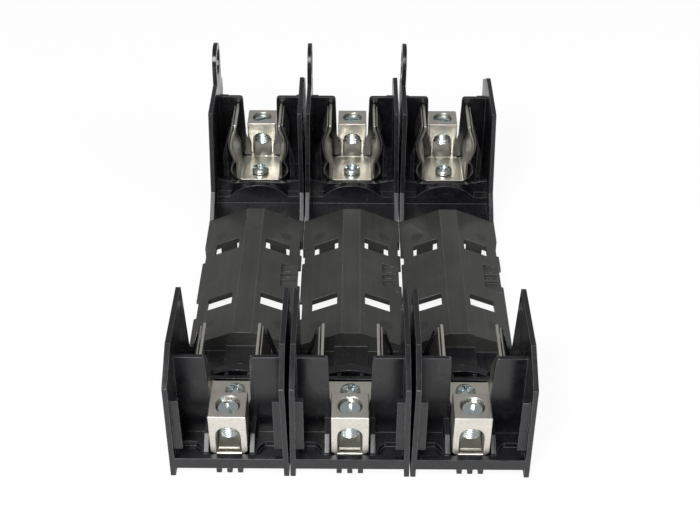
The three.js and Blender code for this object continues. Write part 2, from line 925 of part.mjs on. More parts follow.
// The metal pieces of one end, in the line end's place; the load end's group is turned round.
const endPieces = [
  ["lug", boxLug(), aluminium],
  ["lug_screw", lugScrew(), zincPlate],
  ["clip", fuseClip(), tinPlate],
  ["clip_spring", clipSpring(), springSteel],
  ["clip_screw", clipScrew(), zincPlate],
  ["clip_nut", clipNut(), zincPlate],
];

const polePieces = [
  ["base", poleBase(), blackPlastic],
  ["rail_latch", railLatch(), blackPlastic],
  ["latch_spring", latchSpring(), springSteel],
];

const block = new THREE.Group();
poleNames.forEach((pole, index) => {
  const poleGroup = new THREE.Group();
  poleGroup.position.x = (index - (poleNames.length - 1) / 2) * polePitch;
  polePieces.forEach(([name, solid, material]) =>
    poleGroup.add(piece(`${pole}_${name}`, solid, material)),
  );
  ["line", "load"].forEach((end) => {
    const endGroup = new THREE.Group();
    endGroup.rotation.z = end === "load" ? Math.PI : 0;
    endPieces.forEach(([name, solid, material]) =>
      endGroup.add(piece(`${pole}_${end}_${name}`, solid, material)),
    );
    poleGroup.add(endGroup);
  });
  block.add(poleGroup);
});

export default block;
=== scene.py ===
"""Looks of a three-pole modular fuse block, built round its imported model.

Lengths are in metres. X runs across the poles, Y along the fuses with the line end at -Y, and Z up.
"""

import logging
import math
from dataclasses import dataclass
from enum import Enum
from typing import Sequence, Union

import bmesh
import bpy
import numpy as np
from mathutils import Matrix, Vector


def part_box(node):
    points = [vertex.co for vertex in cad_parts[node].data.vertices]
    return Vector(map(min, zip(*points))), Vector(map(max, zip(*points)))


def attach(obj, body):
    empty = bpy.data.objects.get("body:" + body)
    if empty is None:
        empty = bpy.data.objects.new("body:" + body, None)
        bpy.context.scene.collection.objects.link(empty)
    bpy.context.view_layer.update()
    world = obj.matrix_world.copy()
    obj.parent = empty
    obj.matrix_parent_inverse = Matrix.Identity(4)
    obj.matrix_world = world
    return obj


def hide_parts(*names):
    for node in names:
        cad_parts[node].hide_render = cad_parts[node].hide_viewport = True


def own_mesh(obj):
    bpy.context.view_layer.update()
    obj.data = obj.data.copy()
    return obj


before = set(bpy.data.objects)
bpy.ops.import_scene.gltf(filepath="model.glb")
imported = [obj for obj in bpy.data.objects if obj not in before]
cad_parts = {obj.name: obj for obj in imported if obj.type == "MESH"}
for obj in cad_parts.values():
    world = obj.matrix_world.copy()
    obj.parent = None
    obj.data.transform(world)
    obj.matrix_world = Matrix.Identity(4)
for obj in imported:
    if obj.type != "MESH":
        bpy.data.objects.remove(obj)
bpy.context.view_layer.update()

MM = 0.001
EDGE = "edge"  # face attribute that is 1 on rounded edges
SMOOTH = 35.0  # degrees, above which an edge stays sharp
COIL_SMOOTH = 60.0
SCREW_SMOOTH = 28.0
MERGE = 2e-6  # distance under which a CAD node's doubled vertices are joined
FLAT = 0.3  # degrees, under which neighbouring faces are one
LOG = logging.getLogger("fuse_block")

Socket = bpy.types.NodeSocket
Value = Union[float, Sequence[float], Socket]
Colour = tuple[float, float, float]


class Pole(Enum):
    """The three poles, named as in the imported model."""

    LEFT = "left"
    MIDDLE = "middle"
    RIGHT = "right"


class End(Enum):
    """The two ends of a pole."""

    LINE = "line"
    LOAD = "load"


class Slot(Enum):
    """The record's material slots."""

    PLASTIC = "black_plastic"
    ALUMINIUM = "lug_aluminium"
    ZINC = "zinc_screw"
    TIN = "tinned_clip"
    SPRING = "spring_steel"


# ---- Node trees


class Graph:
    """A node tree with short calls that add nodes and link their inputs."""

    def __init__(self, tree: bpy.types.NodeTree) -> None:
        """Keeps the tree that the nodes go into.

        Args:
            tree: the tree of a material, a world or a shared effect.
        """
        self.tree = tree

    def node(
        self,
        kind: str,
        inputs: dict[Union[str, int], Value] | None = None,
        **settings: object,
    ) -> bpy.types.Node:
        """Adds one node.

        Args:
            kind: the node's type, without its ShaderNode prefix.
            inputs: a value or a socket for each named or numbered input.
            settings: the node's own properties.

        Returns:
            The new node.
        """
        made = self.tree.nodes.new("ShaderNode" + kind)
        for name, setting in settings.items():
            setattr(made, name, setting)
        for name, value in (inputs or {}).items():
            if isinstance(value, bpy.types.NodeSocket):
                self.tree.links.new(value, made.inputs[name])
            else:
                made.inputs[name].default_value = value
        return made

    def math(self, operation: str, first: Value, second: Value = 0.0) -> Socket:
        """Adds a Math node.

        Args:
            operation: its operation.
            first: its first number.
            second: its second number.

        Returns:
            Its result.
        """
        return self.node("Math", {0: first, 1: second}, operation=operation).outputs[0]

    def ramp(
        self, value: Value, low: float, high: float, start: float = 0.0, stop: float = 1.0
    ) -> Socket:
        """Maps a value smoothly from one range to another, held at both ends.

        Args:
            value: the value.
            low: where the first range starts.
            high: where it ends.
            start: what low becomes.
            stop: what high becomes.

        Returns:
            The mapped value.
        """
        inputs: dict[Union[str, int], Value] = {
            "Value": value,
            "From Min": low,
            "From Max": high,
            "To Min": start,
            "To Max": stop,
        }
        return self.node("MapRange", inputs, interpolation_type="SMOOTHSTEP").outputs[0]

    def mix(self, mask: Value, first: Value, second: Value) -> Socket:
        """Mixes two colours.

        Args:
            mask: 0 for the first colour and 1 for the second.
            first: a colour or a socket.
            second: a colour or a socket.

        Returns:
            The mixed colour.
        """
        inputs: dict[Union[str, int], Value] = {0: mask}
        for place, colour in ((6, first), (7, second)):
            plain = not isinstance(colour, bpy.types.NodeSocket)
            inputs[place] = (*colour, 1.0) if plain else colour
        return self.node("Mix", inputs, data_type="RGBA").outputs[2]

    def noise(self, vector: Value, scale: Value, detail: float = 3.0) -> Socket:
        """Adds a 3-D noise texture.

        Args:
            vector: where it is looked up.
            scale: cells to the metre, or to the vector's own unit.
            detail: its octaves.

        Returns:
            Its value.
        """
        inputs: dict[Union[str, int], Value] = {"Vector": vector, "Scale": scale, "Detail": detail}
        return self.node("TexNoise", inputs).outputs[0]

    def stretched(self, vector: Value, scale: Colour) -> Socket:
        """Scales a vector on each axis.

        Args:
            vector: the vector.
            scale: the three factors.

        Returns:
            The scaled vector.
        """
        return self.node("Mapping", {"Vector": vector, "Scale": scale}).outputs[0]

    def use(self, effect: bpy.types.NodeTree, **inputs: Value) -> bpy.types.Node:
        """Places a shared effect and fills its inputs.

        Args:
            effect: the effect's group.
            inputs: a value or a socket for each named input.

        Returns:
            The group's node.
        """
        made = self.tree.nodes.new("ShaderNodeGroup")
        made.node_tree = effect
        for name, value in inputs.items():
            if isinstance(value, bpy.types.NodeSocket):
                self.tree.links.new(value, made.inputs[name])
            else:
                made.inputs[name].default_value = value
        return made


def new_effect(name: str, inputs: dict[str, float], outputs: Sequence[str]) -> bpy.types.NodeTree:
    """Makes an empty node group for a shared effect.

    Args:
        name: the group's name.
        inputs: number inputs with their usual values; every group also takes a Vector.
        outputs: names of its number outputs.

    Returns:
        The group, with its input and output nodes in place.
    """
    tree = bpy.data.node_groups.new(name, "ShaderNodeTree")
    tree.interface.new_socket("Vector", in_out="INPUT", socket_type="NodeSocketVector")
    for label, usual in inputs.items():
        made = tree.interface.new_socket(label, in_out="INPUT", socket_type="NodeSocketFloat")
        made.default_value = usual
    for label in outputs:
        tree.interface.new_socket(label, in_out="OUTPUT", socket_type="NodeSocketFloat")
    tree.nodes.new("NodeGroupInput")
    tree.nodes.new("NodeGroupOutput")
    return tree


class Effects:
    """The effects that more than one material uses, each built once."""

    def __init__(self) -> None:
        """Builds every group."""
        self.grain = self._grain()
        self.streaks = self._streaks()
        self.clouds = self._clouds()
        self.edge_wear_and_highlight = self._edge_wear_and_highlight()
        self.scratches = self._scratches()

    @staticmethod
    def _ends(tree: bpy.types.NodeTree) -> tuple[Graph, bpy.types.Node, bpy.types.Node]:
        """Finds a group's own nodes.

        Args:
            tree: the group.

        Returns:
            Its graph, its input node and its output node.
        """
        return Graph(tree), tree.nodes["Group Input"], tree.nodes["Group Output"]

    def _grain(self) -> bpy.types.NodeTree:
        """Fine moulded or cast grain: two noises, the second three times as fine."""
        tree = new_effect("grain", {"Size": 0.4}, ("Height",))
        graph, start, end = self._ends(tree)
        scale = graph.math("DIVIDE", 1.0 / MM, start.outputs["Size"])
        coarse = graph.noise(start.outputs["Vector"], scale)
        fine = graph.noise(start.outputs["Vector"], graph.math("MULTIPLY", scale, 3.0))
        total = graph.math("MULTIPLY_ADD", fine, 0.5)
        tree.links.new(coarse, total.node.inputs[2])
        tree.links.new(total, end.inputs["Height"])
        return tree

    def _streaks(self) -> bpy.types.NodeTree:
        """Long thin marks along Z of the vector given, as rolling, sawing and flow leave."""
        tree = new_effect("streaks", {"Size": 0.3, "Length": 20.0}, ("Mask",))
        graph, start, end = self._ends(tree)
        across = graph.math("DIVIDE", 1.0 / MM, start.outputs["Size"])
        along = graph.math("DIVIDE", across, start.outputs["Length"])
        scale = graph.node("CombineXYZ", {0: across, 1: across, 2: along}).outputs[0]
        moved = graph.node(
            "VectorMath", {0: start.outputs["Vector"], 1: scale}, operation="MULTIPLY"
        ).outputs[0]
        marks = graph.ramp(graph.noise(moved, 1.0, 4.0), 0.35, 0.68)
        tree.links.new(marks, end.inputs["Mask"])
        return tree

    def _clouds(self) -> bpy.types.NodeTree:
        """Broad soft patches, as handling, plating and cooling leave."""
        tree = new_effect("clouds", {"Size": 12.0}, ("Mask",))
        graph, start, end = self._ends(tree)
        scale = graph.math("DIVIDE", 1.0 / MM, start.outputs["Size"])
        patches = graph.ramp(graph.noise(start.outputs["Vector"], scale), 0.3, 0.7)
        tree.links.new(patches, end.inputs["Mask"])
        return tree

    def _edge_wear_and_highlight(self) -> bpy.types.NodeTree:
        """Wear and painted highlight on rounded edges: the edge attribute, broken up by noise."""
        tree = new_effect("edge_wear_and_highlight", {"Size": 1.5, "Amount": 0.7}, ("Mask",))
        graph, start, end = self._ends(tree)
        scale = graph.math("DIVIDE", 1.0 / MM, start.outputs["Size"])
        edge = graph.node("Attribute", attribute_name=EDGE).outputs["Fac"]
        broken = graph.ramp(graph.noise(start.outputs["Vector"], scale), 0.32, 0.62, 0.35, 1.0)
        worn_and_highlighted = graph.math("MULTIPLY", graph.math("MULTIPLY", edge, broken), start.outputs["Amount"])
        tree.links.new(worn_and_highlighted, end.inputs["Mask"])
        return tree

    def _scratches(self) -> bpy.types.NodeTree:
        """Thin handling scratches: cell borders of a stretched, bent Voronoi pattern, kept in patches."""
        tree = new_effect("scratches", {"Size": 6.0}, ("Mask",))
        graph, start, end = self._ends(tree)
        scale = graph.math("DIVIDE", 1.0 / MM, start.outputs["Size"])
        bent = graph.stretched(start.outputs["Vector"], (1.0, 0.35, 1.7))
        cells = graph.node("TexVoronoi", {"Vector": bent, "Scale": scale}, feature="DISTANCE_TO_EDGE")
        line = graph.ramp(cells.outputs["Distance"], 0.006, 0.02, 1.0, 0.0)
        patch = graph.ramp(graph.noise(start.outputs["Vector"], scale), 0.52, 0.66)
        tree.links.new(graph.math("MULTIPLY", line, patch), end.inputs["Mask"])
        return tree


# ---- Finishes


@dataclass(frozen=True)
class Finish:
    """What every finish has: its slot and how its surface shines."""

    slot: Slot
    colour: Colour
    roughness: tuple[float, float]
    metallic: float = 0.0
    specular: float = 0.5
    bump: float = 0.1
    bump_height: float = 0.02 * MM

    def build(self, effects: Effects) -> bpy.types.Material:
        """Builds the material.

        Args:
            effects: the shared effects.

        Returns:
            The finished material.
        """
        material = bpy.data.materials.new(self.slot.value + "_finish")
        material.use_nodes = True
        tree = material.node_tree
        tree.nodes.clear()
        graph = Graph(tree)
        place = graph.node("TexCoord").outputs["Object"]
        colour, rough, height = self.surface(graph, effects, place)
        bump = graph.node(
            "Bump", {"Strength": self.bump, "Distance": self.bump_height, "Height": height}
        ).outputs[0]
        shader = graph.node("BsdfPrincipled", {"Base Color": colour, "Roughness": rough, "Normal": bump})
        shader.inputs["Metallic"].default_value = self.metallic
        shader.inputs["Specular IOR Level"].default_value = self.specular
        graph.node("OutputMaterial", {"Surface": shader.outputs[0]})
        return material

    def surface(self, graph: Graph, effects: Effects, place: Socket) -> tuple[Socket, Socket, Socket]:
        """Builds what varies over the surface.

        Args:
            graph: the material's graph.
            effects: the shared effects.
            place: the Object coordinates.

        Returns:
            The colour, roughness and height sockets.
        """
        raise NotImplementedError


@dataclass(frozen=True)
class BlackPlastic(Finish):
    """Satin black moulded plastic with flow lines, ejector marks, painted light over the vault and pale
    edges that carry a painted highlight.
    """

    # Painted light: the vault faces up and gets this paler, olive colour as if lit from above.
    vault_painted_light_colour: Colour = (0.038, 0.039, 0.035)
    flow_colour: Colour = (0.052, 0.052, 0.048)
    # Pale colour for scratches, and for the painted highlight on rounded edges.
    edge_colour: Colour = (0.075, 0.075, 0.082)
    mark_colour: Colour = (0.026, 0.026, 0.027)
    pitch: float = 36 * MM
    vault_half: float = 34.6 * MM
    vault_top: float = 10.8 * MM
    mark_radius: float = 2.3 * MM
    mark_x: float = 11.9 * MM
    mark_places: tuple[float, float] = (-26.9 * MM, 22.5 * MM)

    def ejector_marks(self, graph: Graph, across: Socket, along: Socket) -> Socket:
        """Round marks on the vault's flanks: 1 inside a circle round each pair of places.

        Args:
            graph: the material's graph.
            across: distance from the middle of the pole.
            along: distance along the block.

        Returns:
            The mask.
        """
        masks = []
        beside = graph.math("SUBTRACT", graph.math("ABSOLUTE", across), self.mark_x)
        for place in self.mark_places:
            beyond = graph.math("SUBTRACT", along, place)
            flat = graph.node("CombineXYZ", {0: beside, 1: beyond}).outputs[0]
            distance = graph.node("VectorMath", {0: flat}, operation="LENGTH").outputs["Value"]
            masks.append(graph.ramp(distance, self.mark_radius - 0.5 * MM, self.mark_radius, 1.0, 0.0))
        return graph.math("MAXIMUM", masks[0], masks[1])

    def surface(self, graph: Graph, effects: Effects, place: Socket) -> tuple[Socket, Socket, Socket]:
        """Builds dark plastic with lengthwise flow lines, painted a little paler over the vault, which
        faces up, as painted light from above.

        Args:
            graph: the material's graph.
            effects: the shared effects.
            place: the Object coordinates.

        Returns:
            The colour, roughness and height sockets.
        """
        axes = graph.node("SeparateXYZ", {0: place}).outputs
        half = self.pitch / 2
        wrapped = graph.node("Math", {0: axes[0], 1: half, 2: -half}, operation="WRAP").outputs[0]
        beyond = graph.math("SUBTRACT", graph.math("ABSOLUTE", axes[1]), self.vault_half)
        inside = graph.ramp(beyond, 0.0, MM, 1.0, 0.0)
        low = graph.ramp(axes[2], self.vault_top, self.vault_top + 0.5 * MM, 1.0, 0.0)
        vault = graph.math("MULTIPLY", inside, low)
        marks = graph.math("MULTIPLY", self.ejector_marks(graph, wrapped, axes[1]), vault)
        turned = graph.node("CombineXYZ", {0: axes[0], 1: axes[2], 2: axes[1]}).outputs[0]
        flow = graph.use(effects.streaks, Vector=turned, Size=1.6, Length=24.0).outputs["Mask"]
        clouds = graph.use(effects.clouds, Vector=place, Size=14.0).outputs["Mask"]
        wear_and_highlight = graph.use(effects.edge_wear_and_highlight, Vector=place, Size=2.5, Amount=0.75).outputs["Mask"]
        grain = graph.use(effects.grain, Vector=place, Size=0.35).outputs["Height"]
        scratches = graph.use(effects.scratches, Vector=place, Size=9.0).outputs["Mask"]
        # Painted light: the vault is mixed towards its paler, lit-looking colour.
        base = graph.mix(vault, self.colour, self.vault_painted_light_colour)
        lines = graph.math("MULTIPLY", flow, graph.ramp(vault, 0.0, 1.0, 0.12, 0.4))
        lined = graph.mix(lines, base, self.flow_colour)
        marked = graph.mix(graph.math("MULTIPLY", marks, 0.8), lined, self.mark_colour)
        clouded = graph.mix(graph.math("MULTIPLY", clouds, 0.25), marked, self.colour)
        scratched = graph.mix(graph.math("MULTIPLY", scratches, 0.25), clouded, self.edge_colour)
        # Painted highlight: rounded edges are mixed towards the pale edge colour, broken up by noise.
        colour = graph.mix(wear_and_highlight, scratched, self.edge_colour)
        rough = graph.ramp(graph.math("ADD", clouds, marks), 0.0, 1.2, *self.roughness)
        height = graph.math("SUBTRACT", grain, graph.math("MULTIPLY", marks, 2.0))
        return colour, rough, height


@dataclass(frozen=True)
class Metal(Finish):
    """Plated or sawn metal with marks along one axis and broad tarnish."""

    stain: Colour = (0.4, 0.4, 0.38)
    tint: Colour = (0.7, 0.7, 0.7)
    marks_along: int = 2
    marks_size: float = 0.25
    marks_length: float = 30.0
    marks_strength: float = 0.5
    edge_gain: float = 0.4
    edge_colour: Colour = (0.80, 0.79, 0.75)

    def surface(self, graph: Graph, effects: Effects, place: Socket) -> tuple[Socket, Socket, Socket]:
        """Builds metal with tinted patches, streaks that change its gloss, and bright edges.

        Args:
            graph: the material's graph.
            effects: the shared effects.
            place: the Object coordinates.

        Returns:
            The colour, roughness and height sockets.
        """
        axes = graph.node("SeparateXYZ", {0: place}).outputs
        order = [axis for axis in range(3) if axis != self.marks_along] + [self.marks_along]
        turned = graph.node("CombineXYZ", {i: axes[a] for i, a in enumerate(order)}).outputs[0]
        streaks = graph.use(
            effects.streaks, Vector=turned, Size=self.marks_size, Length=self.marks_length
        ).outputs["Mask"]
        clouds = graph.use(effects.clouds, Vector=place, Size=4.0).outputs["Mask"]
        spots = graph.use(effects.clouds, Vector=place, Size=1.1).outputs["Mask"]
        wear_and_highlight = graph.use(effects.edge_wear_and_highlight, Vector=place, Size=1.0, Amount=0.6).outputs["Mask"]
        grain = graph.use(effects.grain, Vector=place, Size=0.18).outputs["Height"]
        scratches = graph.use(effects.scratches, Vector=place, Size=3.0).outputs["Mask"]
        tinted = graph.mix(graph.math("MULTIPLY", clouds, 0.5), self.colour, self.tint)
        dull = graph.math("MULTIPLY", graph.math("MULTIPLY", streaks, spots), 0.5)
        dulled = graph.mix(dull, tinted, self.stain)
        marked = graph.mix(graph.math("MULTIPLY", scratches, 0.5), dulled, self.stain)
        colour = graph.mix(graph.math("MULTIPLY", wear_and_highlight, self.edge_gain), marked, self.edge_colour)
        spread = graph.math("MULTIPLY_ADD", streaks, self.marks_strength)
        graph.tree.links.new(graph.math("MULTIPLY", spots, 0.5), spread.node.inputs[2])
        rough = graph.ramp(spread, 0.0, 1.0, *self.roughness)
        height = graph.math("MULTIPLY_ADD", streaks, self.marks_strength)
        graph.tree.links.new(grain, height.node.inputs[2])
        return colour, rough, height


FINISHES: tuple[Finish, ...] = (
    BlackPlastic(
        Slot.PLASTIC, (0.004, 0.004, 0.006), (0.20, 0.36), bump=0.12, bump_height=0.03 * MM
    ),
    Metal(
        Slot.ALUMINIUM,
        (0.70, 0.67, 0.61),
        (0.30, 0.50),
        metallic=1.0,
        stain=(0.42, 0.40, 0.36),
        tint=(0.62, 0.60, 0.56),
        marks_along=0,
        marks_size=0.16,
    ),
    Metal(
        Slot.ZINC,
        (0.62, 0.70, 0.73),
        (0.22, 0.38),
        metallic=1.0,
        stain=(0.30, 0.34, 0.36),
        tint=(0.72, 0.74, 0.68),
        marks_size=0.3,
        marks_length=4.0,
        marks_strength=0.3,
        bump=0.04,
    ),
    Metal(
        Slot.TIN,
        (0.72, 0.70, 0.62),
        (0.30, 0.46),
        metallic=1.0,
        stain=(0.56, 0.54, 0.48),
        tint=(0.64, 0.62, 0.55),
        marks_size=0.5,
        marks_length=25.0,
        marks_strength=0.3,
        bump=0.03,
    ),
    Metal(
        Slot.SPRING,
        (0.56, 0.55, 0.52),
        (0.30, 0.46),
        metallic=1.0,
        stain=(0.42, 0.41, 0.38),
        tint=(0.47, 0.46, 0.44),
        marks_along=1,
        marks_strength=0.3,
        bump=0.03,
    ),
)


# ---- Meshes


def new_object(name: str, mesh: bpy.types.Mesh, smooth_angle: float = SMOOTH) -> bpy.types.Object:
    """Links a mesh as an object at the origin, smooth up to an angle.

    Args:
        name: the piece's name.
        mesh: its mesh, already in place.
        smooth_angle: edges sharper than this many degrees stay sharp.

    Returns:
        The object.
    """
    mesh.name = name
    mesh.polygons.foreach_set("use_smooth", np.ones(len(mesh.polygons), bool))
    mesh.set_sharp_from_angle(angle=math.radians(smooth_angle))
    made = bpy.data.objects.new(name, mesh)
    bpy.context.scene.collection.objects.link(made)
    return made


def grid_quads(rows: int, columns: int) -> np.ndarray:
    """Returns the quads of a grid whose columns close on themselves.

    Each joins a point, its neighbour in the row and the two above them.

    Args:
        rows: rows of points.
        columns: points in each row.

    Returns:
        An array of quads by four point numbers.
    """
    row, column = np.meshgrid(np.arange(rows - 1), np.arange(columns), indexing="ij")
    after = (column + 1) % columns
    quads = [row * columns + column, row * columns + after]
    quads += [(row + 1) * columns + after, (row + 1) * columns + column]
    return np.stack(quads, axis=-1).reshape(-1, 4)


def closed_tube(points: np.ndarray) -> bpy.types.Mesh:
    """Makes a closed mesh from rings of points, with each end filled by one face.

    Args:
        points: an array of rings by points by 3, each ring in the same order.

    Returns:
        The mesh, with its faces turned outwards.
    """
    rings, count = points.shape[:2]
    quads = grid_quads(rings, count)
    first, last = np.arange(count)[::-1], np.arange(count) + (rings - 1) * count
    mesh = bpy.data.meshes.new("tube")
    mesh.from_pydata(points.reshape(-1, 3).tolist(), [], [*quads.tolist(), first.tolist(), last.tolist()])
    work = bmesh.new()
    work.from_mesh(mesh)
    bmesh.ops.remove_doubles(work, verts=work.verts, dist=1e-7)
    bmesh.ops.recalc_face_normals(work, faces=work.faces)
    work.to_mesh(mesh)
    work.free()
    return mesh


def box_mesh(size: Sequence[float], centre: Sequence[float], turn: float = 0.0) -> bpy.types.Mesh:
    """Makes a box as a tube of two rings.

    Args:
        size: its three sides.
        centre: its middle.
        turn: how far it is turned about Z through its middle, in radians.

    Returns:
        The mesh.
    """
    corners = np.array([(-1, -1), (1, -1), (1, 1), (-1, 1)]) * np.array(size[:2]) / 2
    cos, sin = math.cos(turn), math.sin(turn)
    flat = corners @ np.array([[cos, sin], [-sin, cos]]) + np.array(centre[:2])
    rings = [np.c_[flat, np.full(4, centre[2] + side * size[2] / 2)] for side in (-1, 1)]
    return closed_tube(np.array(rings))


def cut_out(body: bpy.types.Object, cutters: Sequence[bpy.types.Mesh]) -> None:
    """Takes volumes out of a body and keeps the result as its mesh.

    Args:
        body: the object to cut.
        cutters: closed meshes to take out of it.
    """
    tools = [bpy.data.objects.new("cutter", mesh) for mesh in cutters]
    for tool in tools:
        bpy.context.scene.collection.objects.link(tool)
        cut = body.modifiers.new("cut", "BOOLEAN")
        cut.object, cut.operation, cut.solver = tool, "DIFFERENCE", "EXACT"
    graph = bpy.context.evaluated_depsgraph_get()
    mesh = bpy.data.meshes.new_from_object(body.evaluated_get(graph))
    body.modifiers.clear()
    mesh.name = body.data.name
    body.data = mesh
    for tool in tools:
        bpy.data.objects.remove(tool)


def round_edges(mesh: bpy.types.Mesh, width: float, segments: int = 2, above: float = 24.0) -> None:
    """Rounds the sharp edges of a mesh and marks the new faces with the edge attribute.

    Faces in one plane are joined, then split where they are concave, so that the rounding can't fold them.

    Args:
        mesh: the mesh to change.
        width: how far each rounding reaches from its edge.
        segments: steps in each rounding.
        above: edges that turn by more than this many degrees are rounded.
    """
    work = bmesh.new()
    work.from_mesh(mesh)
    bmesh.ops.remove_doubles(work, verts=work.verts, dist=MERGE)
    bmesh.ops.dissolve_degenerate(work, dist=MERGE / 2, edges=work.edges)
    bmesh.ops.dissolve_limit(
        work,
        angle_limit=math.radians(FLAT),
        verts=work.verts,
        edges=work.edges,
        use_dissolve_boundaries=False,
    )
    bmesh.ops.connect_verts_concave(work, faces=work.faces)
    layer = work.faces.layers.float.new(EDGE)
    sharp = [e for e in work.edges if e.is_manifold and e.calc_face_angle(0.0) > math.radians(above)]
    made = bmesh.ops.bevel(
        work,
        geom=sharp,
        offset=width,
        offset_type="OFFSET",
        segments=segments,
        profile=0.5,
        affect="EDGES",
        clamp_overlap=False,
        loop_slide=True,
        material=-1,
    )
    for face in made["faces"]:
        face[layer] = 1.0
    many = [face for face in work.faces if len(face.verts) > 4]
    bmesh.ops.triangulate(work, faces=many, quad_method="BEAUTY", ngon_method="EAR_CLIP")
    work.to_mesh(mesh)
    work.free()


def keep_inside(mesh: bpy.types.Mesh, low: Vector, high: Vector) -> None:
    """Moves any vertex that stands outside a box onto its face.

    Args:
        mesh: the mesh to change.
        low: the box's lowest corner.
        high: its highest corner.
    """
    places = np.empty(len(mesh.vertices) * 3)
    mesh.vertices.foreach_get("co", places)
    held = np.clip(places.reshape(-1, 3), np.array(low), np.array(high))
    mesh.vertices.foreach_set("co", held.ravel())


def reworked(
    name: str, node: str, width: float, segments: int = 2, above: float = 24.0
) -> bpy.types.Object:
    """Makes a piece from a copy of a CAD node's mesh, merged and with rounded edges.

    Args:
        name: the new piece's name.
        node: the CAD node it stands for.
        width: width of the rounding.
        segments: steps in the rounding.
        above: edges that turn by more than this many degrees are rounded.

    Returns:
        The new piece, which replaces the node.
    """
    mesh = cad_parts[node].data.copy()
    mesh.materials.clear()
    round_edges(mesh, width, segments, above)
    keep_inside(mesh, *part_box(node))
    made = new_object(name, mesh)
    weights = made.modifiers.new("weights", "WEIGHTED_NORMAL")
    weights.keep_sharp = True
    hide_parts(node)
    return made


# ---- Sub-assemblies


@dataclass
class Dresser:
    """Gives each piece its finish and its body, and reports it."""

    materials: dict[Slot, bpy.types.Material]

    def dress(self, piece: bpy.types.Object, slot: Slot, body: str) -> bpy.types.Object:
        """Puts a finish on a piece and hangs it on a body.

        Args:
            piece: the piece.
            slot: its material slot.
            body: the body it moves with.

        Returns:
            The same piece.
        """
        piece.data.materials.clear()
        piece.data.materials.append(self.materials[slot])
        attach(piece, body)
        LOG.info("%s on %s, %d faces", piece.name, body, len(piece.data.polygons))
        return piece


@dataclass
class PoleMoulding:
    """The moulded base of one pole."""

    pole: Pole
    edge_radius: float = 0.14 * MM
    round_above: float = 18.0

    def build(self, dresser: Dresser) -> None:
        """Builds the base with rounded edges.

        Args:
            dresser: gives the pieces their finish and their body.
        """
        name = self.pole.value
        piece = reworked(f"{name}_moulding", f"{name}_base", self.edge_radius, above=self.round_above)
        dresser.dress(piece, Slot.PLASTIC, "block")


